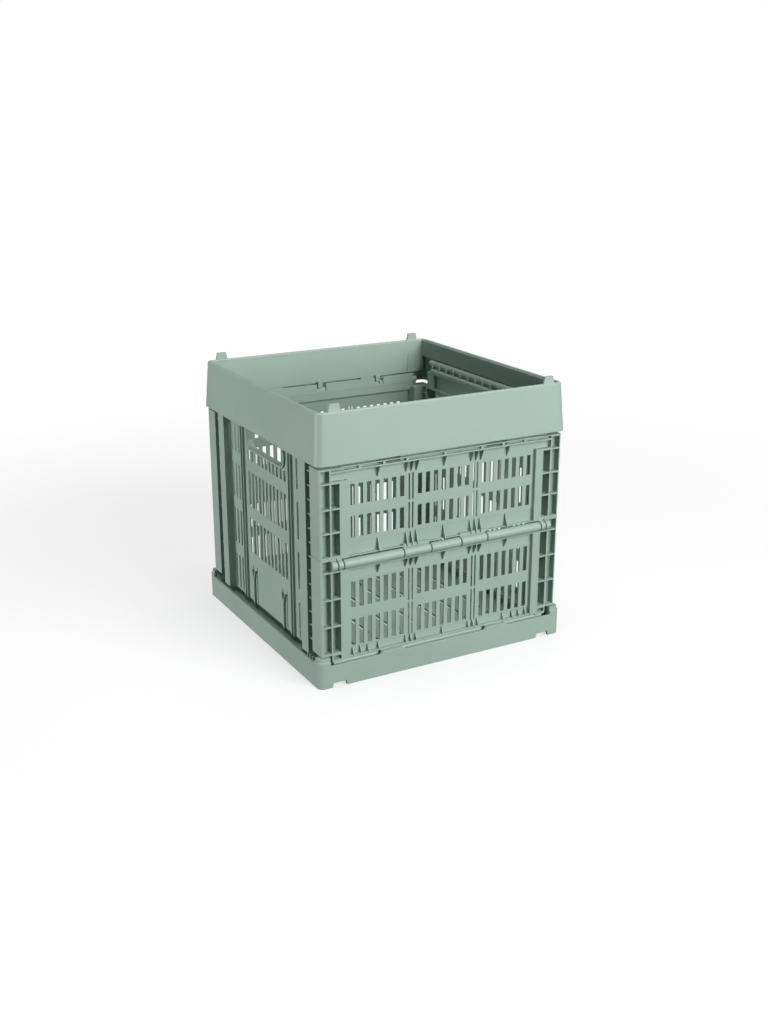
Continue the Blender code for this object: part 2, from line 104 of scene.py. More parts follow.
CORNER_STEPS = 8
BARREL_SIDES = 40
BORE_SIDES = 16

# Base tray.
BASE_SKIRT = 3.0
BASE_CORNER = 8.0
FLOOR = (4.0, 7.0)
END_LIP_TOP = 30.0
DIP_TOP = 28.0
TAB_TOP = 31.5
TAB_SLOPE = 4.0
TAB = (60.0, 88.0)
TAB_GAP = 0.2
CORNER_POST = 157.0
BOSS_START = 158.5
BOSS_TOP = 37.6
BOSS_DEPTH = 6.0
BOSS_INSET = 1.6
NOTCH = (136.0, 155.0)
NOTCH_HEIGHT = 6.0
NOTCH_TAPER = 1.2
SOCKET = (160.0, 168.5)
SEAT = (28.0, 19.5)  # half width and top
FLOOR_SLOTS = (8, 34.0, 2.2)  # columns, pitch and half width
FLOOR_SLOT_ROWS = (4, 74.0, 30.0)  # rows, pitch and half length
CORNER_FINS = (136.5, 143.0, 149.5)
FIN_START = 152.0
FIN_HALF = 0.7
FIN_RISE = 2.0

# Rim collar.
RIM_LOW = 269.7
RIM_HIGH = 330.5
RIM_TOP_HALF = 166.4
RIM_SKIN = 3.0
RIM_CORNER = 8.5
RIM_EDGE = 2.0
RIM_EDGE_STEPS = 5
RIM_FOOT_CHAMFER = (0.6, 0.8)  # width and height
RIM_MOUTH = 161.4
MOUTH_CHAMFER = 0.9
MOUTH_CORNERS = (4.0, 3.4)  # corner radii at the top and below the chamfer
RIM_TOP_THICK = 2.5
SKIRT = (159.4, 161.4)
SKIRT_LOW = 284.5
LUG = (137.0, 153.0)
LUG_TAPER = 2.2
LUG_OUT = (162.1, 165.6)
RIM_SLICES = (-114.0, -35.0, 35.0, 114.0)
PAD = (135.0, 157.0, 312.0, 0.9)  # span, top and thickness
HOOKS = (-86.5, -4.0, 86.5)  # middles of the rim's hooks
HOOK_HALF = 7.0  # half width of the notch that a hook stands in
HOOK_MARGINS = (2.2, 5.0)  # room in the notch on the hook's two sides
HOOK_DROP = 6.5
END_SKIRT_GAP = 0.8
BRACKET_OUT = {"left": 165.2, "right": 166.5}

# Barrels: radius, and where they start and end from the middle of the crate.
BASE_BARREL = 5.0
MID_BARREL = 6.0
BARREL_CHAMFER = 0.7
HINGE_GAP = 1.3
RIM_BARREL = 4.5
END_BARREL = 4.5
BORE = 2.7
FIXED_BORE = 100.0  # half lengths of the bores: in the base and rim,
WALL_BORE = 149.0  # at a wall's outer hinge,
MID_BORE = 152.0  # at its middle hinge,
BRACKET_BORE = 127.5  # in the rim's brackets for the end panels
END_BORE = 140.0  # and in the end panels
WALL_KNUCKLES = ((0.0, 59.0), (89.0, 150.0))
FIXED_KNUCKLE = (60.2, 87.8)
MID_LOWER_KNUCKLES = ((0.0, 20.6), (58.8, 137.6), (145.8, 153.0))
MID_UPPER_KNUCKLES = ((21.5, 57.9), (138.4, 145.0))
END_KNUCKLES = ((0.0, 60.3), (71.7, 119.3))
END_BRACKETS = ((61.2, 70.8), (120.2, 130.0))

# Folding walls.
COLUMN = (138.0, 166.5)
COLUMN_INNER = 142.5
COLUMN_CORNER = 2.2
OUTER_POCKET = (153.0, 164.0, 8.5)  # span and depth
INNER_POCKET = (140.5, 150.8, 12.5)
LOWER_FINS = ((41.0, 73.2), (75.2, 107.2), (109.2, 141.0), (143.0, 156.3))
UPPER_FINS = ((161.2, 188.5), (190.5, 216.8), (218.8, 247.2), (249.2, 263.6))
LOWER_COLUMN = (38.5, 158.5)
UPPER_COLUMN = (158.9, 266.0)
FOOT = (138.0, 152.4, 29.4)  # span and bottom
FOOT_START = 150.0
FOOT_POCKET = (32.0, 37.2, 7.0)  # span and depth
STRIP = (129.5, 140.0)
PANEL = 162.0  # the window panel's outer face
PANEL_SKIN = 1.7
LOWER_PANEL = (31.0, 143.5)
UPPER_PANEL = (156.5, 262.0)
SHELF = 2.0
BAND_DEPTH = 0.9
BAND_CLEAR = 1.5  # how far the bands' cutters stand out from the panel
LOWER_BANDS = ((33.0, 41.4), (129.8, 141.5))
UPPER_BANDS = ((158.5, 173.6), (247.2, 260.0))
LOWER_WINDOWS = ((43.3, 76.9), (91.8, 124.6))
UPPER_WINDOWS = ((178.8, 204.6), (218.0, 243.2))
BAY_PITCH = 89.3
WINDOW_PITCH = 10.87
WINDOW_WIDTH = 5.5
WINDOWS_PER_BAY = 7
SLICE_GAPS = (1.0, 9.0)  # from a window row to the planes that the panel is split along
GROOVE = (1.5, 3.3, 1.9)  # from the middle of a divider, and depth
GROOVE_RUN = (2.0, 1.6)  # past the windows, and short of the middle bar's middle
GUSSET_WIDE = (0.9, 6.8)  # half thickness and depth at the wide end
GUSSET_LOW = (0.9, 5.2)  # and for the lowest row
GUSSET_THIN = (0.6, 0.4)
GUSSET_TAPER = 0.7  # thickness of a gusset's outer edge, in parts of its root
EDGE_GUSSETS = (6.0, 16.0, 26.0)  # places in from the strips
DIVIDER_GUSSETS = (-7.0, 0.0, 7.0)
TOP_RAIL = (265.2, 266.0)
RAIL_DEPTH = (3.2, 0.3)  # in from the wall's outer face
PROP_DEPTH = (2.8, 1.3)
TOP_CORNER = (128.9, 151.3)
TOP_CORNER_BAND = (250.2, 259.9)
TOP_CORNER_SLOT = (262.0, 265.0, 4.5)  # span and depth
INNER_BAND = (153.9, 155.2)
INNER_BAND_HIGH = (261.0, 283.9)
INNER_BAND_HALF = 142.0
INNER_BAND_SLICES = (-120.0, -50.0, 50.0, 120.0)
INNER_BAND_LINE = (271.8, 272.6)
INNER_BAND_LEDGE = (260.6, 262.2)
HOOK_LOW = 274.0
TOP_BLOCKS = (0.0, 51.5, 82.0, 113.5)
TOP_BLOCK_HALF = 1.7
NECK_HALF = 1.5  # half thickness of the web that holds a barrel

# End panels.
FLANGE = (113.5, 131.0)
SHEET = (155.5, 156.6)
END_INNER = 150.0
END_TOP = 268.5
END_ROWS = ((96.0, 143.0), (159.0, 206.5), (222.0, 235.0))
END_SLICES = (86.0, 151.0, 214.0, 253.5)
END_COLUMNS = 11
END_PITCH = 10.8
END_SLOT = 6.0
CENTRE_HALF = 66.0
CENTRE_RISE = 0.35
CENTRE_INSET = 4.0
CHANNEL_RIBS = (68.5, 75.5)
CHANNEL_SLICE = 72.0
RIB_HALF = 0.8
RIB_RISE = 3.2
NARROW_COLUMNS = (88.0, 98.5, 109.0)
NARROW_SLOT = 4.6
NARROW_ROWS = ((31.0, 78.0), (95.0, 143.0), (159.0, 206.0), (222.0, 259.0))
HAND_HOLE = (56.0, 239.0, 271.5)
HAND_HOLE_CORNER = 11.0
GRIP_WALL = 2.2
GRIP_RISE = 3.0
LATCHES = (-46.0, 46.0)
LATCH_HALF = 5.0
LATCH_SLOT = 2.4
LATCH = (30.0, 79.0)
LATCH_RISE = 3.0
STEM_HALF = 1.2
FORK_DROP = 14.0  # from the tongue's top to where the stem forks
PRONG_END = 4.0  # from the tongue's top to the prongs' tips
PRONG_ROOT = (0.2, 1.6)  # from the stem's middle
PRONG_TIP = (-0.9, 1.1)  # about the tongue's edge
RUNG = (151.0, 164.0)
RUNG_TIP = 139.6
RUNG_HALF = 0.8
RUNG_TOP = 257.5
RUNG_PITCH = 17.25
RUNGS = 13
COMB_RAIL = (14.0, 5.6)  # bottom and top of the rail, below the hinge's axis
COMB_CORNER = 2.6
COMB_INSET = 0.2  # from the panel's inner face to the rail
COMB_RIB_INSET = 1.6  # and to the ribs between the pockets
COMB_ROOT = 0.4  # how far the comb runs into the neck
COMB_POST = (112.0, 129.0)
COMB_POST_OVERLAP = 3.0  # how far the posts run up into the rail
COMB_POCKETS = 13
COMB_PITCH = 18.2
COMB_RIB = 2.0  # half width of a rib between two pockets
COMB_TOP = 1.1  # how far the ribs rise above the hinge's axis

# Colours, as linear values.
SAGE = (0.262, 0.352, 0.306)
SAGE_DEEP = (0.248, 0.336, 0.291)
PIN_GREEN = (0.225, 0.310, 0.268)

# The plastic's surface; the grain's depth is in metres.
CLOUD_SCALE = 14.0
CLOUD_DETAIL = 3.0
CLOUD_EDGES = (0.30, 0.62)
GRAIN_SCALE = 1800.0
GRAIN_DETAIL = 2.0
GRAIN_STRENGTH = 0.12
GRAIN_DEPTH = 0.00006
CRATE_ROUGHNESS = 0.50
PIN_ROUGHNESS = 0.42
ROUGHNESS_SPREAD = (-0.05, 0.07)
PLASTIC_IOR = 1.49

# The camera, in metres: where it stands and which way it looks.
CAMERA_PLACE = Vector((-0.7366, -1.3430, 0.6562))
CAMERA_FORWARD = Vector((0.4602, 0.8288, -0.3181))
CAMERA_LENS = 43.27

# The stage, in metres and watts.
WHITE = (1.0, 1.0, 1.0, 1.0)
LIGHTS = {  # place, width and height, and power
    "key": ((0.6, -2.2, 1.10), (1.5, 1.5), 83.0),
    "top": ((0.1, 0.2, 2.4), (2.0, 2.0), 37.0),
    "side": ((-2.2, 0.40, 0.20), (1.8, 0.35), 42.0),
}
LIGHT_AIM = Vector((0.0, 0.0, 0.15))
FILL_STRENGTH = 0.085
FILL_COLOUR = (0.84, 1.0, 0.92, 1.0)
FLOOR_RADIUS = 9.0
FLOOR_SIDES = 96
FLOOR_FADE = (0.45, 1.3)  # distances from the crate between which the floor turns plain white
FLOOR_LIFT = 0.62  # light that the camera sees in the floor beside what falls on it
FLOOR_TONE = 0.32  # the floor's own tone, as the camera sees it
FLOOR_BOUNCE = 0.08  # and as the crate does


# -------- shapes


def add_block(bm, x, y, z):
    """Adds a box that reaches from one value to the other of each pair, in either order."""
    spans = [sorted(pair) for pair in (x, y, z)]
    verts = bmesh.ops.create_cube(bm, size=1.0)["verts"]
    for vert in verts:
        for axis, (low, high) in enumerate(spans):
            vert.co[axis] = low if vert.co[axis] < 0 else high
    return verts


def add_rounded_block(bm, x, y, z, radius, axis=2, keep=None):
    """Adds a box whose edges along one axis are rounded. `keep` picks among them by their middle point."""
    verts = add_block(bm, x, y, z)
    chosen = []
    for edge in dict.fromkeys(edge for vert in verts for edge in vert.link_edges):
        first, second = edge.verts
        along = first.co - second.co
        straight = abs(along[axis]) > NEARLY * along.length
        if straight and (keep is None or keep((first.co + second.co) / 2)):
            chosen.append(edge)
    bmesh.ops.bevel(bm, geom=chosen, offset=radius, segments=CORNER_STEPS, profile=0.5, affect="EDGES")


def add_prism(bm, span, outline, axis="X"):
    """Adds an outline, given in the plane across the axis, drawn out along the axis."""
    low, high = sorted(span)
    ends = []
    for place in (low, high):
        points = [(place, u, v) if axis == "X" else (u, place, v) for u, v in outline]
        ends.append([bm.verts.new(point) for point in points])
    first, second = ends
    bm.faces.new(first)
    bm.faces.new(list(reversed(second)))
    count = len(outline)
    for index in range(count):
        after = (index + 1) % count
        bm.faces.new((first[after], first[index], second[index], second[after]))


def add_barrel(bm, axis, span, centre, radius, chamfer=0.0, sides=BARREL_SIDES, spin=0.0):
    """Adds a round bar along "X" or "Y", with chamfered ends if asked."""
    start, end = sorted(span)
    stations = [(start, radius), (end, radius)]
    if chamfer:
        stations = [(start, radius - chamfer), (start + chamfer, radius)]
        stations += [(end - chamfer, radius), (end, radius - chamfer)]
    rings = []
    for place, size in stations:
        ring = []
        for number in range(sides):
            turn = Matrix.Rotation(2 * pi * number / sides + spin, 2)
            u, v = turn @ Vector((size, 0.0)) + Vector(centre)
            ring.append(bm.verts.new((place, u, v) if axis == "X" else (u, place, v)))
        rings.append(ring)
    bm.faces.new(rings[0])
    bm.faces.new(list(reversed(rings[-1])))
    for near, far in zip(rings, rings[1:]):
        for index in range(sides):
            after = (index + 1) % sides
            bm.faces.new((near[after], near[index], far[index], far[after]))


def add_square_loft(bm, rings):
    """Adds a closed band through rounded squares, each given as (half size, height, corner radius)."""
    loops = []
    for half, height, radius in rings:
        loop = []
        for quarter in range(4):
            turn = Matrix.Rotation(quarter * pi / 2, 2)
            for number in range(CORNER_STEPS + 1):
                arc = Matrix.Rotation(number * pi / 2 / CORNER_STEPS, 2) @ Vector((radius, 0.0))
                x, y = turn @ (Vector((half - radius, half - radius)) + arc)
                loop.append(bm.verts.new((x, y, height)))
        loops.append(loop)
    count = len(loops[0])
    for near, far in zip(loops, loops[1:] + loops[:1]):
        for index in range(count):
            after = (index + 1) % count
            bm.faces.new((near[index], near[after], far[after], far[index]))


def outward(side, near, far):
    """A span of distances out from the centre plane, on one side of it."""
    return side * near, side * far


def blocks(*boxes):
    """One set of boxes that don't touch each other, each given as its x, y and z spans."""
    bm = bmesh.new()
    for box in boxes:
        add_block(bm, *box)
    return bm


def slice_up(bm, axis, places):
    """Splits the faces along planes across one axis, so that no face holds more than a hole or two."""
    across = Vector([1.0 if number == axis else 0.0 for number in range(3)])
    for place in places:
        geometry = [*bm.verts, *bm.edges, *bm.faces]
        bmesh.ops.bisect_plane(bm, geom=geometry, dist=0.001, plane_co=across * place, plane_no=across)


def both_ways(pair):
    """The span and its mirror image on the other side of the middle; a span from 0 runs right across."""
    low, high = pair
    return [(-high, high)] if low == 0.0 else [(low, high), (-high, -low)]


def as_mesh(name, bm):
    bmesh.ops.recalc_face_normals(bm, faces=bm.faces)
    mesh = bpy.data.meshes.new(name)
    bm.to_mesh(mesh)
    bm.free()
    return mesh


def link(name, mesh):
    obj = bpy.data.objects.new(name, mesh)
    bpy.context.scene.collection.objects.link(obj)
    return obj


def evaluated_mesh(obj):
    graph = bpy.context.evaluated_depsgraph_get()
    return bpy.data.meshes.new_from_object(obj.evaluated_get(graph))


def carve(name, body, steps, slices=()):
    """Joins or cuts the shapes of each step in turn and returns the result as clean mesh data.

    `slices` are (axis, places) pairs for the planes that the result is split along, as in slice_up."""
    piece = link(name, as_mesh(name, body))
    helpers = []
    for number, (operation, shapes) in enumerate(steps):
        helper = link(f"{name}_helper_{number}", as_mesh("helper", shapes))
        helpers.append(helper)
        modifier = piece.modifiers.new(f"step_{number}", "BOOLEAN")
        modifier.operation = operation
        modifier.solver = "EXACT"
        modifier.object = helper
    result = evaluated_mesh(piece)
    for obj in [piece, *helpers]:
        bpy.data.objects.remove(obj, do_unlink=True)
    clean = bmesh.new()
    clean.from_mesh(result)
    bmesh.ops.remove_doubles(clean, verts=clean.verts, dist=MERGE)
    bmesh.ops.dissolve_degenerate(clean, edges=clean.edges, dist=MERGE)
    for axis, places in slices:
        slice_up(clean, axis, places)
    bpy.data.meshes.remove(result)
    return clean


def run_length(loop, onward):
    """Length of the first edge past the next sharp turn of a face's outline, or infinity on a round one."""
    step = loop
    while True:
        after = step.link_loop_next if onward else step.link_loop_prev
        if after is loop:
            return float("inf")
        here = step.edge.verts[1].co - step.edge.verts[0].co
        there = after.edge.verts[1].co - after.edge.verts[0].co
        if abs(here.dot(there)) < cos(CORNER_TURN) * here.length * there.length:
            return there.length
        step = after


def mark_edges(bm, width):
    """Marks the sharp edges that have room beside them to be rounded."""
    layer = bm.edges.layers.float.new("bevel_weight_edge")
    for edge in bm.edges:
        if len(edge.link_faces) == 2 and edge.calc_face_angle(0.0) > SHARP_ANGLE:
            runs = [run_length(loop, onward) for loop in edge.link_loops for onward in (True, False)]
            if min(runs) > EDGE_ROOM * width:
                edge[layer] = 1.0
    for face in bm.faces:
        face.smooth = True


def soften(mesh):
    """Gives each face corner the mean normal, by area, of the faces there that turn little from its own."""
    normals = [face.normal.copy() for face in mesh.polygons]
    weighted = [face.normal * face.area for face in mesh.polygons]
    around = [[] for _ in mesh.vertices]
    for face in mesh.polygons:
        for vertex in face.vertices:
            around[vertex].append(face.index)
    limit = cos(SOFT_TURN)
    corners = []
    for face in mesh.polygons:
        own = normals[face.index]
        for vertex in face.vertices:
            near = [weighted[other] for other in around[vertex] if own.dot(normals[other]) > limit]
            corners.append(sum(near, Vector()).normalized())
    mesh.normals_split_custom_set(corners)


def finish_piece(name, bm, node, body, edge=FINE_EDGE, segments=2):
    """Rounds the edges, gives the piece its material and puts it in the place of a CAD node."""
    bm.normal_update()
    mark_edges(bm, edge)
    obj = link(name, as_mesh(name, bm))
    bevel = obj.modifiers.new("rounding", "BEVEL")
    bevel.width = edge
    bevel.segments = segments
    bevel.limit_method = "WEIGHT"
    bevel.use_clamp_overlap = False
    final = evaluated_mesh(obj)
    soften(final)
    final.transform(Matrix.Scale(MM, 4))
    final.name = name
    bpy.data.objects.remove(obj, do_unlink=True)
    final.materials.append(crate_plastic)
    piece = link(name, final)
    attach(piece, body)
    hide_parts(node)
    return piece


# -------- materials


def shader_tree(owner):
    """The node and link collections of a material or world."""
    owner.use_nodes = True
    return owner.node_tree.nodes, owner.node_tree.links


def moulded_plastic(name, colour, deep, roughness):
    """Satin moulded plastic: a faint cloudiness in the colour, and the fine grain of an eroded mould."""
    material = bpy.data.materials.new(name)
    nodes, links = shader_tree(material)
    shader = nodes["Principled BSDF"]
    place = nodes.new("ShaderNodeTexCoord")

    cloud = nodes.new("ShaderNodeTexNoise")
    cloud.inputs["Scale"].default_value = CLOUD_SCALE
    cloud.inputs["Detail"].default_value = CLOUD_DETAIL
    links.new(place.outputs["Object"], cloud.inputs["Vector"])
    tint = nodes.new("ShaderNodeValToRGB")
    for element, position, tone in zip(tint.color_ramp.elements, CLOUD_EDGES, (deep, colour)):
        element.position = position
        element.color = (*tone, 1.0)
    links.new(cloud.outputs["Fac"], tint.inputs["Fac"])
    links.new(tint.outputs["Color"], shader.inputs["Base Color"])

    grain = nodes.new("ShaderNodeTexNoise")
    grain.inputs["Scale"].default_value = GRAIN_SCALE
    grain.inputs["Detail"].default_value = GRAIN_DETAIL
    links.new(place.outputs["Object"], grain.inputs["Vector"])
    spread = nodes.new("ShaderNodeMapRange")
    spread.inputs["To Min"].default_value = roughness + ROUGHNESS_SPREAD[0]
    spread.inputs["To Max"].default_value = roughness + ROUGHNESS_SPREAD[1]
    links.new(cloud.outputs["Fac"], spread.inputs["Value"])
    links.new(spread.outputs["Result"], shader.inputs["Roughness"])
    bump = nodes.new("ShaderNodeBump")
    bump.inputs["Strength"].default_value = GRAIN_STRENGTH
    bump.inputs["Distance"].default_value = GRAIN_DEPTH
    links.new(grain.outputs["Fac"], bump.inputs["Height"])
    links.new(bump.outputs["Normal"], shader.inputs["Normal"])
    shader.inputs["IOR"].default_value = PLASTIC_IOR
    return material


crate_plastic = moulded_plastic("crate_plastic_look", SAGE, SAGE_DEEP, CRATE_ROUGHNESS)
pin_plastic = moulded_plastic("pin_plastic_look", PIN_GREEN, PIN_GREEN, PIN_ROUGHNESS)


# -------- hinges


def hinge_steps(axis, groups, place, radius, web, side):
    """The steps that add a hinge's barrels, and the webs (distance out, height) that hold them."""
    barrels = bmesh.new()
    webs = bmesh.new()
    web_out, web_height = web
    across = outward(side, *web_out)
    for span in [span for pair in groups for span in both_ways(pair)]:
        add_barrel(barrels, axis, span, (side * place[0], place[1]), radius, chamfer=BARREL_CHAMFER)
        inner = (span[0] + STEP, span[1] - STEP)
        if axis == "X":
            add_block(webs, inner, across, web_height)
        else:
            add_block(webs, across, inner, web_height)
    return [("UNION", webs), ("UNION", barrels)]


def bore_step(axis, place, side, half_length):
    """The step that bores a hinge's barrels for its pins."""
    bore = bmesh.new()
    centre = (side * place[0], place[1])
    add_barrel(bore, axis, (-half_length, half_length), centre, BORE, sides=BORE_SIDES, spin=pi / BORE_SIDES)
    return ("DIFFERENCE", bore)


# -------- base tray


def make_base():
    inside = HALF_SIDE - BASE_SKIRT
    body = bmesh.new()
    add_square_loft(
        body,
        (
            (inside, 0.0, BASE_CORNER - BASE_SKIRT),
            (HALF_SIDE, 0.0, BASE_CORNER),
            (HALF_SIDE, BASE_TOP, BASE_CORNER),
            (inside, BASE_TOP, BASE_CORNER - BASE_SKIRT),
        ),
    )

    floor = bmesh.new()
    reach = inside + BASE_SKIRT / 2
    add_rounded_block(floor, (-reach, reach), (-reach, reach), FLOOR, BASE_CORNER - BASE_SKIRT / 2)
    columns, pitch, half_width = FLOOR_SLOTS
    rows, row_pitch, half_length = FLOOR_SLOT_ROWS
    slice_up(floor, 0, [(column - columns / 2) * pitch for column in range(1, columns)])
    slice_up(floor, 1, [(row - rows / 2) * row_pitch for row in range(1, rows)])

    edge = bmesh.new()
    tabs = bmesh.new()
    outside = (inside - REACH, HALF_SIDE + REACH)
    top = BASE_TOP + REACH
    for side in (-1, 1):
        across = outward(side, *outside)
        for low, high in ((-CORNER_POST, -TAB[1]), (-TAB[0], TAB[0]), (TAB[1], CORNER_POST)):
            slope_low = 0.0 if low == -CORNER_POST else TAB_SLOPE
            slope_high = 0.0 if high == CORNER_POST else TAB_SLOPE
            outline = (
                (low + slope_low, DIP_TOP),
                (high - slope_high, DIP_TOP),
                (high, TAB_TOP),
                (high, top),
                (low, top),
                (low, TAB_TOP),
            )
            add_prism(edge, across, outline, axis="Y")
        for low, high in both_ways((TAB[0] - TAB_GAP, TAB[1] + TAB_GAP)):
            add_block(tabs, (low, high), across, (TAB_TOP, top))
    ends = bmesh.new()
    for side in (-1, 1):
        across = outward(side, *outside)
        add_block(ends, across, (-CORNER_POST, CORNER_POST), (END_LIP_TOP, top))

    cuts = bmesh.new()
    for side in (-1, 1):
        for low, high in both_ways(NOTCH):
            outline = (
                (low, -REACH),
                (high, -REACH),
                (high, 0.0),
                (high - NOTCH_TAPER, NOTCH_HEIGHT),
                (low + NOTCH_TAPER, NOTCH_HEIGHT),
                (low, 0.0),
            )
            add_prism(cuts, outward(side, SOCKET[1] + STEP, HALF_SIDE + REACH), outline, axis="Y")
    sockets = bmesh.new()
    for side in (-1, 1):
        for span in both_ways(NOTCH):
            add_block(sockets, span, outward(side, *SOCKET), (-REACH, FLOOR[1] + REACH))
    for column in range(columns):
        x = (column - (columns - 1) / 2) * pitch
        for row in range(rows):
            y = (row - (rows - 1) / 2) * row_pitch
            across = (x - half_width, x + half_width)
            span = (y - half_length, y + half_length)
            add_rounded_block(sockets, across, span, (-REACH, FLOOR[1] + REACH), half_width - STEP)

    seats = bmesh.new()
    bosses = bmesh.new()
    fins = bmesh.new()
    for side in (-1, 1):
        across = outward(side, inside + BITE, END_INNER)
        add_block(seats, across, (-SEAT[0], SEAT[0]), (FLOOR[1] - BITE, SEAT[1]))
        for other in (-1, 1):
            corner = HALF_SIDE - BOSS_INSET

            def outer(middle, side=side, other=other):
                return middle.x * side > corner - BITE and middle.y * other > corner - BITE

            add_rounded_block(
                bosses,
                outward(side, CORNER_POST, corner),
                (other * BOSS_START, other * corner),
                (BASE_TOP - BOSS_DEPTH, BOSS_TOP),
                BASE_CORNER - BOSS_INSET,
                keep=outer,
            )
            for place in CORNER_FINS:
                across = outward(side, FIN_START, inside + BITE)
                span = (other * (place - FIN_HALF), other * (place + FIN_HALF))
                add_block(fins, across, span, (FLOOR[1] - BITE, BASE_TOP + FIN_RISE))
    steps = [
        ("DIFFERENCE", edge),
        ("DIFFERENCE", tabs),
        ("DIFFERENCE", ends),
        ("UNION", floor),
        ("UNION", seats),
        ("UNION", bosses),
        ("UNION", fins),
    ]
    web = ((BASE_AXIS[0], inside + BITE), (BASE_AXIS[1] - BASE_BARREL, BASE_AXIS[1] + BASE_BARREL))
    for side in (-1, 1):
        steps += hinge_steps("X", (FIXED_KNUCKLE,), BASE_AXIS, BASE_BARREL, web, side)
    steps += [("DIFFERENCE", cuts), ("DIFFERENCE", sockets)]
    steps += [bore_step("X", BASE_AXIS, side, FIXED_BORE) for side in (-1, 1)]
    finish_piece("base_tray_moulding", carve("base", body, steps), "base_tray", "base", edge=BASE_EDGE)


# -------- rim collar


def lug_outline(low, high, bottom, top):
    """A block that narrows towards its top, as all the lugs and pads of the rim do."""
    return (
        (low, bottom),
        (high, bottom),
        (high - LUG_TAPER, top),
        (low + LUG_TAPER, top),
    )


def make_rim():
    body = bmesh.new()
    inner_low = RIM_HALF - RIM_SKIN
    inner_high = RIM_TOP_HALF - RIM_SKIN
    edge = RIM_EDGE
    chamfer_width, chamfer_height = RIM_FOOT_CHAMFER
    rings = [
        (inner_low, RIM_LOW, RIM_CORNER - RIM_SKIN),
        (RIM_HALF - chamfer_width, RIM_LOW, RIM_CORNER),
        (RIM_HALF, RIM_LOW + chamfer_height, RIM_CORNER),
    ]
    # The rounded top edge, a quarter of a circle.
    for number in range(RIM_EDGE_STEPS + 1):
        turn = Matrix.Rotation(number * pi / 2 / RIM_EDGE_STEPS, 2) @ Vector((edge, 0.0))
        rings.append((RIM_TOP_HALF - edge + turn.x, RIM_HIGH - edge + turn.y, RIM_CORNER - edge + turn.x))
    rings.append((RIM_MOUTH + MOUTH_CHAMFER, RIM_HIGH, MOUTH_CORNERS[0]))
    rings.append((RIM_MOUTH, RIM_HIGH - MOUTH_CHAMFER, MOUTH_CORNERS[1]))
    rings.append((RIM_MOUTH, RIM_HIGH - RIM_TOP_THICK, MOUTH_CORNERS[1]))
    rings.append((inner_high, RIM_HIGH - RIM_TOP_THICK, RIM_CORNER - RIM_SKIN))
    add_square_loft(body, rings)

    skirts = bmesh.new()
    end_skirts = bmesh.new()
    pads = bmesh.new()
    lugs = bmesh.new()
    hooks = bmesh.new()
    top = RIM_HIGH - RIM_TOP_THICK / 2
    for side in (-1, 1):
        across = outward(side, *SKIRT)
        add_block(skirts, (-RIM_MOUTH - BITE, RIM_MOUTH + BITE), across, (SKIRT_LOW, top))
        for low, high in both_ways(LUG):
            outline = lug_outline(low, high, RIM_HIGH - BITE, LUG_TOP)
            add_prism(lugs, outward(side, *LUG_OUT), outline, axis="Y")
        low, high, pad_top, thick = PAD
        for start, end in both_ways((low, high)):
            outline = lug_outline(start, end, SKIRT_LOW + FUSE, pad_top)
            add_prism(pads, outward(side, SKIRT[0] - thick, SKIRT[0] + FUSE), outline, axis="Y")
        across = outward(side, INNER_BAND[0] + NUDGE, SKIRT[0] + FUSE)
        for middle in HOOKS:
            span = (middle - HOOK_HALF + HOOK_MARGINS[0], middle + HOOK_HALF - HOOK_MARGINS[1])
            add_block(hooks, span, across, (SKIRT_LOW - HOOK_DROP, SKIRT_LOW + 2 * BITE))
    for label, side in ENDS:
        height = (END_AXES[label][1] + END_BARREL + END_SKIRT_GAP, top - STEP)
        across = outward(side, *SKIRT)
        reach = RIM_MOUTH - BITE
        add_block(end_skirts, across, (-reach, reach), height)
    steps = [("UNION", shapes) for shapes in (skirts, end_skirts, pads, lugs, hooks)]
    web = ((SKIRT[0] + STEP, RIM_AXIS[0] + NECK_HALF), (RIM_AXIS[1], SKIRT_LOW + BITE))
    for side in (-1, 1):
        steps += hinge_steps("X", (FIXED_KNUCKLE,), RIM_AXIS, RIM_BARREL, web, side)
    for label, side in ENDS:
        out, height = END_AXES[label]
        web = ((out, BRACKET_OUT[label]), (height - END_BARREL + NUDGE, height + END_BARREL - NUDGE))
        steps += hinge_steps("Y", END_BRACKETS, END_AXES[label], END_BARREL, web, side)
    steps += [bore_step("X", RIM_AXIS, side, FIXED_BORE) for side in (-1, 1)]
    for label, side in ENDS:
        steps.append(bore_step("Y", END_AXES[label], side, BRACKET_BORE))
    moulding = carve("rim", body, steps, slices=((0, RIM_SLICES), (1, RIM_SLICES)))
    finish_piece("rim_collar_moulding", moulding, "rim_collar", "rim", edge=RIM_FINE_EDGE)


# -------- folding walls


def wall_frame(side, column, panel):
    """The steps that add a wall half's columns, the smooth strips beside them and its shelves."""
    columns = bmesh.new()
    for span in both_ways(COLUMN):

        def outer(middle, span=span):
            far = max(abs(span[0]), abs(span[1]))
            return abs(middle.x) > far - BITE and abs(middle.y) > HALF_WALL - BITE

        across = outward(side, COLUMN_INNER, HALF_WALL)
        add_rounded_block(columns, span, across, column, COLUMN_CORNER, keep=outer)
    across = outward(side, HALF_WALL - SKIN, HALF_WALL - HAIR)
    strips = blocks(*[(span, across, panel) for span in both_ways(STRIP)])
    across = outward(side, PANEL - PANEL_SKIN / 2, HALF_WALL - SKIN / 2)
    height = (panel[0] + STEP, panel[1] - STEP)
    returns = blocks(*[(span, across, height) for span in both_ways((STRIP[0] + HAIR, STRIP[0] + SKIN))])
    reach = (-STRIP[0] - SKIN / 2, STRIP[0] + SKIN / 2)
    across = outward(side, PANEL - PANEL_SKIN / 2, HALF_WALL - GAP)
    bottom, top = panel
    shelves = blocks((reach, across, (bottom, bottom + SHELF)), (reach, across, (top - SHELF, top)))
    return [("UNION", columns), ("UNION", strips), ("UNION", returns), ("UNION", shelves)]


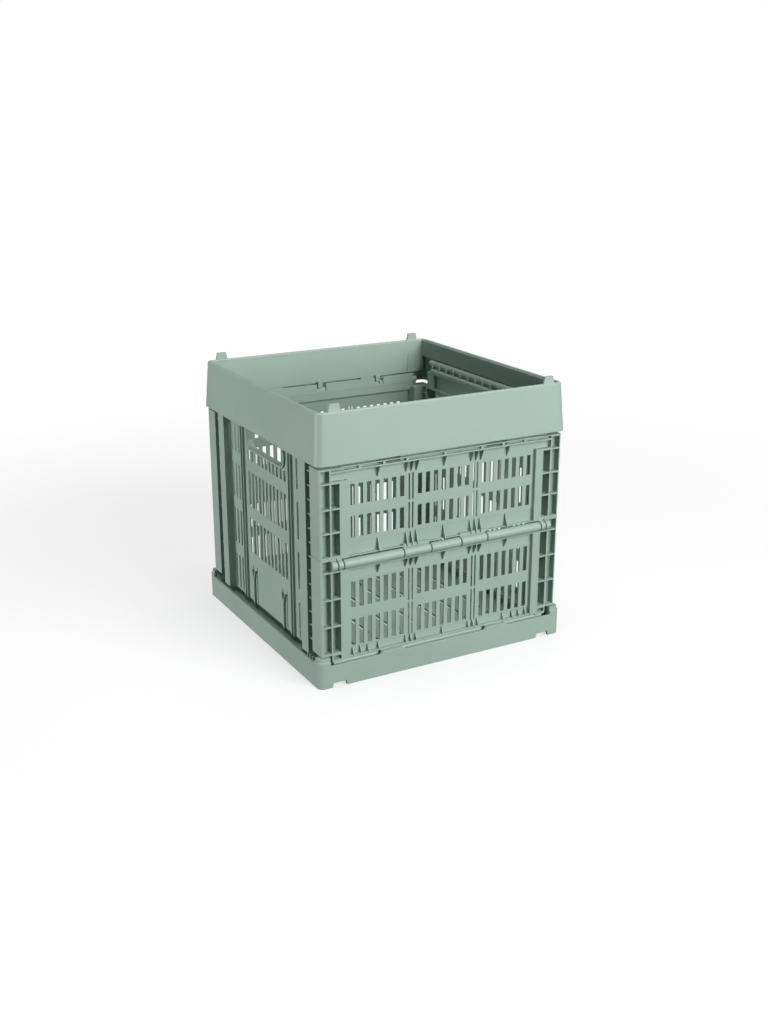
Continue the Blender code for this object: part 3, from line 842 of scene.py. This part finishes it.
def wall_cuts(side, fins, inner_fins, bands, windows):
    """The steps that cut the columns' pockets, the shallow bands, the dividers' grooves and the windows."""
    pockets = bmesh.new()
    for (low, high, depth), heights in ((OUTER_POCKET, fins), (INNER_POCKET, inner_fins)):
        for span in both_ways((low, high)):
            for fin in heights:
                add_block(pockets, span, outward(side, HALF_WALL - depth, HALF_WALL + REACH), fin)
    reach = STRIP[0] - FUSE
    across = outward(side, PANEL - BAND_DEPTH, PANEL + BAND_CLEAR)
    hollows = blocks(*[((-reach, reach), across, (low + HAIR, high - HAIR)) for low, high in bands])
    grooves = bmesh.new()
    near, far, depth = GROOVE
    past, short = GROOVE_RUN
    middle = sum(windows[0] + windows[1]) / 4
    rows = ((windows[0][0] - past, middle - short), (middle + short, windows[1][1] + past))
    across = outward(side, PANEL - depth, PANEL + BAND_CLEAR + GAP)
    for divider in (-BAY_PITCH / 2, BAY_PITCH / 2):
        for start, end in ((divider - far, divider - near), (divider + near, divider + far)):
            for row in rows:
                add_block(grooves, (start, end), across, row)
    slots = bmesh.new()
    through = outward(side, PANEL - SKIN - SLOT_REACH, PANEL + SLOT_REACH)
    for bay in (-1, 0, 1):
        for column in range(WINDOWS_PER_BAY):
            x = bay * BAY_PITCH + (column - (WINDOWS_PER_BAY - 1) / 2) * WINDOW_PITCH
            for row in windows:
                add_block(slots, (x - WINDOW_WIDTH / 2, x + WINDOW_WIDTH / 2), through, row)
    return [("DIFFERENCE", shapes) for shapes in (pockets, hollows, grooves, slots)]


def add_gussets(bm, side, places, band, wide_end_up, wide=GUSSET_WIDE):
    """Adds tapered webs that run from a wall's shelf to the panel, across a band."""
    low, high = band
    if wide_end_up:
        ends = ((low, GUSSET_THIN), (high + FUSE, wide))
    else:
        ends = ((low - FUSE, wide), (high, GUSSET_THIN))
    root = side * (PANEL - BAND_DEPTH - FUSE)
    for place in places:
        rings = []
        for height, (half, depth) in ends:
            tip = side * (PANEL + depth)
            slim = half * GUSSET_TAPER
            corners = ((-half, root), (half, root), (slim, tip), (-slim, tip))
            rings.append([bm.verts.new((place + x, y, height)) for x, y in corners])
        bottom, top = rings
        bm.faces.new(bottom)
        bm.faces.new(list(reversed(top)))
        for index in range(4):
            after = (index + 1) % 4
            bm.faces.new((bottom[after], bottom[index], top[index], top[after]))


def window_slices(windows):
    """The planes through the bars between the windows, as (axis, places) pairs."""
    columns = []
    for bay in (-1, 0, 1):
        for number in range(WINDOWS_PER_BAY + 1):
            columns.append(bay * BAY_PITCH + (number - WINDOWS_PER_BAY / 2) * WINDOW_PITCH)
    low, high = windows
    near, far = SLICE_GAPS
    return (0, columns), (2, (low[0] - near, (low[1] + high[0]) / 2, high[1] + near, high[1] + far))


def window_panel(side, panel, windows):
    """The panel of a wall half, split along its window slices, and those slices."""
    body = bmesh.new()
    reach = COLUMN[0] + SKIN / 2
    add_block(body, (-reach, reach), outward(side, PANEL - PANEL_SKIN, PANEL), panel)
    slices = window_slices(windows)
    for axis, places in slices:
        slice_up(body, axis, places)
    return body, slices


def bay_gussets():
    """The X places of the gussets at the middle of each bay and at the dividers."""
    middles = [bay * BAY_PITCH for bay in (-1, 0, 1)]
    dividers = [sign * BAY_PITCH / 2 + offset for sign in (-1, 1) for offset in DIVIDER_GUSSETS]
    return middles + dividers


def make_lower_half(wall, side):
    body, slices = window_panel(side, LOWER_PANEL, LOWER_WINDOWS)
    steps = wall_frame(side, LOWER_COLUMN, LOWER_PANEL)

    across = outward(side, FOOT_START, HALF_WALL - 2 * HAIR)
    height = (FOOT[2], LOWER_COLUMN[0] + FUSE)
    feet = blocks(*[(span, across, height) for span in both_ways((FOOT[0] + STEP, FOOT[1]))])
    low, high, depth = FOOT_POCKET
    across = outward(side, HALF_WALL - depth, HALF_WALL + REACH)
    foot_pockets = blocks(*[(span, across, (low, high)) for span in both_ways(INNER_POCKET[:2])])
    # Room for the upper half's outermost barrels.
    relief = bmesh.new()
    across = outward(side, PANEL - SKIN - GAP, HALF_WALL + REACH)
    for span in both_ways((STRIP[1] - SKIN, MID_UPPER_KNUCKLES[1][1] + GAP)):
        add_block(relief, span, across, (LOWER_PANEL[1] + GAP, LOWER_COLUMN[1] + REACH))
    steps += [("UNION", feet), ("DIFFERENCE", foot_pockets)]
    steps += wall_cuts(side, LOWER_FINS, LOWER_FINS, LOWER_BANDS, LOWER_WINDOWS)
    steps.append(("DIFFERENCE", relief))
    mid_web = (MID_AXIS[0] - MID_BARREL + BITE, HALF_WALL - STEP)
    web = (mid_web, (LOWER_PANEL[1] - SHELF + NUDGE, MID_AXIS[1]))
    steps += hinge_steps("X", MID_LOWER_KNUCKLES, MID_AXIS, MID_BARREL, web, side)
    web = ((PANEL - SKIN - GAP, PANEL + GAP), (BASE_AXIS[1], LOWER_PANEL[0] + SHELF - GAP))
    steps += hinge_steps("X", WALL_KNUCKLES, BASE_AXIS, BASE_BARREL, web, side)
    steps += [bore_step("X", MID_AXIS, side, MID_BORE), bore_step("X", BASE_AXIS, side, WALL_BORE)]
    moulding = carve(f"{wall}_lower", body, steps, slices)
    bottom, top = LOWER_BANDS
    add_gussets(moulding, side, bay_gussets(), top, True)
    edges = [sign * (STRIP[0] - place) for sign in (-1, 1) for place in EDGE_GUSSETS]
    add_gussets(moulding, side, bay_gussets() + edges, bottom, False, GUSSET_LOW)
    finish_piece(f"{wall}_lower_wall_moulding", moulding, f"{wall}_lower_wall", f"{wall}_lower")


def add_inner_band(bm, side):
    """Adds the flat band inside the rim hinge, with a notch at each hook of the rim."""
    near, far = INNER_BAND
    low, high = INNER_BAND_HIGH
    left, right = -INNER_BAND_HALF, INNER_BAND_HALF
    outline = [(left, low), (right, low), (right, high)]
    for middle in reversed(HOOKS):
        start, end = middle - HOOK_HALF, middle + HOOK_HALF
        outline += [(end, high), (end, HOOK_LOW), (start, HOOK_LOW), (start, high)]
    outline.append((left, high))
    plate = bmesh.new()
    add_prism(plate, outward(side, near, far), outline, axis="Y")
    slice_up(plate, 0, INNER_BAND_SLICES)
    copy_into(bm, plate)
    add_block(bm, (left, right), outward(side, near - GAP, near + 2 * NUDGE), INNER_BAND_LINE)
    add_block(bm, (left, right), outward(side, near + GAP, PANEL - BITE), INNER_BAND_LEDGE)


def copy_into(bm, other):
    """Moves the shape of another bmesh into this one."""
    mesh = as_mesh("moved", other)
    bm.from_mesh(mesh)
    bpy.data.meshes.remove(mesh)


def make_upper_half(wall, side):
    body, slices = window_panel(side, UPPER_PANEL, UPPER_WINDOWS)
    steps = wall_frame(side, UPPER_COLUMN, UPPER_PANEL)
    # The rail under the rim, on small blocks.
    near, far = RAIL_DEPTH
    across = outward(side, HALF_WALL - near, HALF_WALL - far)
    rail = blocks(((-COLUMN[0] - BITE, COLUMN[0] + BITE), across, (TOP_RAIL[0], TOP_RAIL[1] + FUSE)))
    near, far = PROP_DEPTH
    across = outward(side, HALF_WALL - near, HALF_WALL - far)
    height = (UPPER_PANEL[1] - FUSE, TOP_RAIL[0] + GAP)
    spots = sorted({place * sign for place in TOP_BLOCKS for sign in (-1, 1)})
    props = blocks(*[((place - TOP_BLOCK_HALF, place + TOP_BLOCK_HALF), across, height) for place in spots])
    # Room for the lower half's barrels.
    gaps = bmesh.new()
    across = outward(side, PANEL + GAP, HALF_WALL + REACH)
    for low, high in [span for pair in MID_LOWER_KNUCKLES for span in both_ways(pair)]:
        span = (low - 2 * NUDGE, high + 2 * NUDGE)
        add_block(gaps, span, across, (MID_AXIS[1], MID_AXIS[1] + MID_BARREL + HINGE_GAP))
    steps += [("UNION", rail), ("UNION", props), ("DIFFERENCE", gaps)]
    corners = bmesh.new()
    low, high, depth = TOP_CORNER_SLOT
    for span in both_ways(TOP_CORNER):
        add_block(corners, span, outward(side, PANEL - BAND_DEPTH, HALF_WALL + REACH), TOP_CORNER_BAND)
        add_block(corners, span, outward(side, HALF_WALL - depth, HALF_WALL + REACH), (low, high))
    steps.append(("DIFFERENCE", corners))
    steps += wall_cuts(side, UPPER_FINS, UPPER_FINS[:-1], UPPER_BANDS, UPPER_WINDOWS)
    mid_web = (MID_AXIS[0] - MID_BARREL + BITE, HALF_WALL - STEP)
    web = (mid_web, (MID_AXIS[1], UPPER_COLUMN[0] + BITE))
    steps += hinge_steps("X", MID_UPPER_KNUCKLES, MID_AXIS, MID_BARREL, web, side)
    neck = (RIM_AXIS[0] - NECK_HALF, RIM_AXIS[0] + NECK_HALF)
    web = (neck, (UPPER_PANEL[1] - SHELF + GAP, RIM_AXIS[1]))
    steps += hinge_steps("X", WALL_KNUCKLES, RIM_AXIS, RIM_BARREL, web, side)
    steps += [bore_step("X", MID_AXIS, side, MID_BORE), bore_step("X", RIM_AXIS, side, WALL_BORE)]
    moulding = carve(f"{wall}_upper", body, steps, slices)
    add_inner_band(moulding, side)
    bottom, top = UPPER_BANDS
    add_gussets(moulding, side, bay_gussets(), top, True)
    add_gussets(moulding, side, bay_gussets(), bottom, False)
    finish_piece(f"{wall}_upper_wall_moulding", moulding, f"{wall}_upper_wall", f"{wall}_upper")


# -------- end panels


def make_end(label, side):
    """An end panel: a slotted sheet between two deep flanges, on an arm that reaches up to its hinge."""
    axis = END_AXES[label]
    height = (END_BOTTOM, END_TOP)

    body = bmesh.new()
    reach = FLANGE[0] + SKIN / 2
    add_block(body, outward(side, *SHEET), (-reach, reach), height)
    middles = [(number - END_COLUMNS / 2) * END_PITCH for number in range(END_COLUMNS + 1)]
    bars = [(near + far) / 2 for near, far in zip(NARROW_COLUMNS, NARROW_COLUMNS[1:])]
    columns = [*middles, *bars, *[-bar for bar in bars], -CHANNEL_SLICE, CHANNEL_SLICE]
    slices = ((1, columns), (2, END_SLICES))
    for split_axis, places in slices:
        slice_up(body, split_axis, places)
    across = outward(side, HALF_WALL - SKIN, HALF_WALL)
    faces = blocks(*[(across, span, height) for span in both_ways(FLANGE)])
    across = outward(side, SHEET[0] + SKIN / 2, HALF_WALL - SKIN / 2)
    spans = both_ways((FLANGE[0] + HAIR, FLANGE[0] + SKIN))
    inner_sides = blocks(*[(across, span, height) for span in spans])
    across = outward(side, END_INNER, HALF_WALL - SKIN / 2)
    spans = both_ways((FLANGE[1] - SKIN, FLANGE[1] - HAIR))
    outer_sides = blocks(*[(across, span, height) for span in spans])
    span = (-FLANGE[1] + SKIN / 2, FLANGE[1] - SKIN / 2)
    low_shelf = (END_BOTTOM + 2 * HAIR, END_BOTTOM + SKIN)
    high_shelf = (END_TOP - SKIN, END_TOP - 2 * HAIR)
    shelves = blocks((across, span, low_shelf), (across, span, high_shelf))
    rungs = []
    for number in range(RUNGS):
        z = RUNG_TOP - number * RUNG_PITCH
        for span in both_ways((FLANGE[1] - SKIN / 2, RUNG_TIP)):
            rungs.append((outward(side, *RUNG), span, (z - RUNG_HALF, z + RUNG_HALF)))
    inset = (END_BOTTOM + CENTRE_INSET, END_TOP - CENTRE_INSET)
    across = outward(side, SHEET[1] - BITE, SHEET[1] + CENTRE_RISE)
    centre = blocks((across, (-CENTRE_HALF, CENTRE_HALF), inset))
    across = outward(side, SHEET[1] - BITE, SHEET[1] + RIB_RISE)
    spans = [span for place in CHANNEL_RIBS for span in both_ways((place - RIB_HALF, place + RIB_HALF))]
    ribs = blocks(*[(across, span, inset) for span in spans])
    neck = outward(side, axis[0] - NECK_HALF, axis[0] + NECK_HALF)
    arm_top = axis[1] - END_BARREL - BITE
    arm = blocks((neck, (-END_BRACKETS[1][0], END_BRACKETS[1][0]), (END_TOP - SKIN / 2, arm_top)))
    steps = [("UNION", shapes) for shapes in (faces, inner_sides, outer_sides, shelves, centre, ribs)]
    steps += [("UNION", blocks(*rungs)), ("UNION", arm)]
    web = ((axis[0] - NECK_HALF - GAP, axis[0] + NECK_HALF + GAP), (arm_top - SKIN, axis[1]))
    steps += hinge_steps("Y", END_KNUCKLES, axis, END_BARREL, web, side)

    grip = bmesh.new()
    half, bottom, top = HAND_HOLE
    across = outward(side, END_INNER, SHEET[1] + GRIP_RISE)
    span = (-half - GRIP_WALL, half + GRIP_WALL)
    around = (bottom - GRIP_WALL, END_TOP - BITE)
    add_rounded_block(grip, across, span, around, HAND_HOLE_CORNER + GRIP_WALL, axis=0)
    hole = bmesh.new()
    across = outward(side, END_INNER - REACH, HALF_WALL + REACH)
    add_rounded_block(hole, across, (-half, half), (bottom, top), HAND_HOLE_CORNER, axis=0)

    slots = bmesh.new()
    through = outward(side, SHEET[0] - SLOT_REACH, SHEET[1] + 2 * SLOT_REACH)
    for column in range(END_COLUMNS):
        y = (column - (END_COLUMNS - 1) / 2) * END_PITCH
        for row in END_ROWS:
            add_block(slots, through, (y - END_SLOT / 2, y + END_SLOT / 2), row)
    for place in NARROW_COLUMNS:
        for low, high in both_ways((place - NARROW_SLOT / 2, place + NARROW_SLOT / 2)):
            for row in NARROW_ROWS:
                add_block(slots, through, (low, high), row)
    for middle in LATCHES:
        for edge in (-1, 1):
            near = middle + edge * LATCH_HALF
            add_block(slots, through, (near, near + edge * LATCH_SLOT), LATCH)
    steps += [("UNION", grip), ("DIFFERENCE", slots), ("DIFFERENCE", hole)]
    steps.append(bore_step("Y", axis, side, END_BORE))
    moulding = carve(f"{label}_end", body, steps, slices)
    add_latches(moulding, side)
    add_comb(moulding, side, axis)
    finish_piece(f"{label}_end_panel_moulding", moulding, f"{label}_end_panel", f"{label}_end")


def add_comb(bm, side, axis):
    """Adds the rounded rail inside an end panel, under its hinge, and the row of pockets above it."""
    low, high = axis[1] - COMB_RAIL[0], axis[1] - COMB_RAIL[1]
    reach = END_BRACKETS[1][0] - BITE
    root = side * (axis[0] - NECK_HALF + COMB_ROOT)
    across = (side * (END_INNER + COMB_INSET), root)

    def inner(middle):
        return abs(middle.x) < END_INNER + BITE

    rail = bmesh.new()
    add_rounded_block(rail, across, (-reach, reach), (low, high), COMB_CORNER, axis=1, keep=inner)
    copy_into(bm, rail)
    for span in both_ways(COMB_POST):
        post = bmesh.new()
        height = (END_TOP - BITE, low + COMB_POST_OVERLAP)
        add_rounded_block(post, across, span, height, COMB_CORNER, axis=2, keep=inner)
        copy_into(bm, post)
    across = (side * (END_INNER + COMB_RIB_INSET), root)
    for number in range(COMB_POCKETS + 1):
        y = (number - COMB_POCKETS / 2) * COMB_PITCH
        add_block(bm, across, (y - COMB_RIB, y + COMB_RIB), (high - BITE, axis[1] + COMB_TOP))


def add_latches(bm, side):
    """Adds the forked stiffener on each latch tongue."""
    low, high = LATCH
    surface = SHEET[1] + CENTRE_RISE
    across = outward(side, surface - FUSE, surface + LATCH_RISE)
    fork = high - FORK_DROP
    root = fork - 3 * GAP
    top = high - PRONG_END
    for middle in LATCHES:
        add_block(bm, across, (middle - STEM_HALF, middle + STEM_HALF), (low - CENTRE_INSET, fork + BITE))
        for tilt in (-1, 1):
            tip = middle + tilt * (LATCH_HALF - 2 * NUDGE)
            outline = (
                (middle + tilt * PRONG_ROOT[0], root),
                (middle + tilt * PRONG_ROOT[1], root),
                (tip + tilt * PRONG_TIP[1], top),
                (tip + tilt * PRONG_TIP[0], top),
            )
            points = outline if tilt > 0 else tuple(reversed(outline))
            add_prism(bm, across, points)


# -------- the crate

make_base()
make_rim()
for wall_name, facing in WALLS:
    make_lower_half(wall_name, facing)
    make_upper_half(wall_name, facing)
for end_name, facing in ENDS:
    make_end(end_name, facing)
for node_name, node_object in frame["nodes"].items():
    if "_pin_" in node_name:
        node_object.material_slots[0].material = pin_plastic


# -------- stage, lights and camera


def make_floor():
    """A pale studio floor that turns into plain white far from the crate."""
    bm = bmesh.new()
    bmesh.ops.create_circle(bm, cap_ends=True, segments=FLOOR_SIDES, radius=FLOOR_RADIUS)
    mesh = bpy.data.meshes.new("studio_floor")
    bm.to_mesh(mesh)
    bm.free()
    floor = link("studio_floor", mesh)
    material = bpy.data.materials.new("studio_floor_look")
    nodes, links = shader_tree(material)
    shader = nodes["Principled BSDF"]
    shader.inputs["Emission Color"].default_value = WHITE
    shader.inputs["Roughness"].default_value = 0.9
    shader.inputs["Specular IOR Level"].default_value = 0.0
    glow = nodes.new("ShaderNodeEmission")
    glow.inputs["Color"].default_value = WHITE
    place = nodes.new("ShaderNodeTexCoord")
    distance = nodes.new("ShaderNodeVectorMath")
    distance.operation = "LENGTH"
    fade = nodes.new("ShaderNodeMapRange")
    fade.interpolation_type = "SMOOTHSTEP"
    fade.inputs["From Min"].default_value = FLOOR_FADE[0]
    fade.inputs["From Max"].default_value = FLOOR_FADE[1]
    mix = nodes.new("ShaderNodeMixShader")
    seen = nodes.new("ShaderNodeLightPath")
    lift = nodes.new("ShaderNodeMath")
    lift.operation = "MULTIPLY"
    lift.inputs[1].default_value = FLOOR_LIFT
    links.new(seen.outputs["Is Camera Ray"], lift.inputs[0])
    links.new(lift.outputs["Value"], shader.inputs["Emission Strength"])
    links.new(seen.outputs["Is Camera Ray"], glow.inputs["Strength"])
    tone = nodes.new("ShaderNodeMapRange")
    tone.inputs["To Min"].default_value = FLOOR_BOUNCE
    tone.inputs["To Max"].default_value = FLOOR_TONE
    links.new(seen.outputs["Is Camera Ray"], tone.inputs["Value"])
    links.new(tone.outputs["Result"], shader.inputs["Base Color"])
    links.new(place.outputs["Object"], distance.inputs[0])
    links.new(distance.outputs["Value"], fade.inputs["Value"])
    links.new(fade.outputs["Result"], mix.inputs["Fac"])
    links.new(shader.outputs["BSDF"], mix.inputs[1])
    links.new(glow.outputs["Emission"], mix.inputs[2])
    links.new(mix.outputs["Shader"], nodes["Material Output"].inputs["Surface"])
    mesh.materials.append(material)


def make_world():
    """White behind the crate, and a much weaker even light on it."""
    world = bpy.data.worlds.new("studio")
    nodes, links = shader_tree(world)
    fill = nodes["Background"]
    fill.inputs["Color"].default_value = FILL_COLOUR
    fill.inputs["Strength"].default_value = FILL_STRENGTH
    backdrop = nodes.new("ShaderNodeBackground")
    backdrop.inputs["Color"].default_value = WHITE
    path = nodes.new("ShaderNodeLightPath")
    mix = nodes.new("ShaderNodeMixShader")
    links.new(path.outputs["Is Camera Ray"], mix.inputs["Fac"])
    links.new(fill.outputs["Background"], mix.inputs[1])
    links.new(backdrop.outputs["Background"], mix.inputs[2])
    links.new(mix.outputs["Shader"], nodes["World Output"].inputs["Surface"])
    bpy.context.scene.world = world


def make_light(name, place, size, power):
    """A soft light, of the given width and height, that faces the middle of the crate."""
    data = bpy.data.lights.new(name, "AREA")
    data.shape = "RECTANGLE"
    data.size, data.size_y = size
    data.energy = power
    light = bpy.data.objects.new(name, data)
    bpy.context.scene.collection.objects.link(light)
    light.location = place
    aim = LIGHT_AIM - light.location
    light.rotation_euler = aim.to_track_quat("-Z", "Y").to_euler()


def make_camera():
    data = bpy.data.cameras.new("camera")
    data.lens = CAMERA_LENS
    data.clip_start = 0.01
    camera = bpy.data.objects.new("camera", data)
    bpy.context.scene.collection.objects.link(camera)
    camera.location = CAMERA_PLACE
    camera.rotation_euler = CAMERA_FORWARD.to_track_quat("-Z", "Y").to_euler()
    bpy.context.scene.camera = camera


bpy.context.scene.view_settings.view_transform = "Standard"
make_floor()
make_world()
for light_name, settings in LIGHTS.items():
    make_light(light_name, *settings)
make_camera()
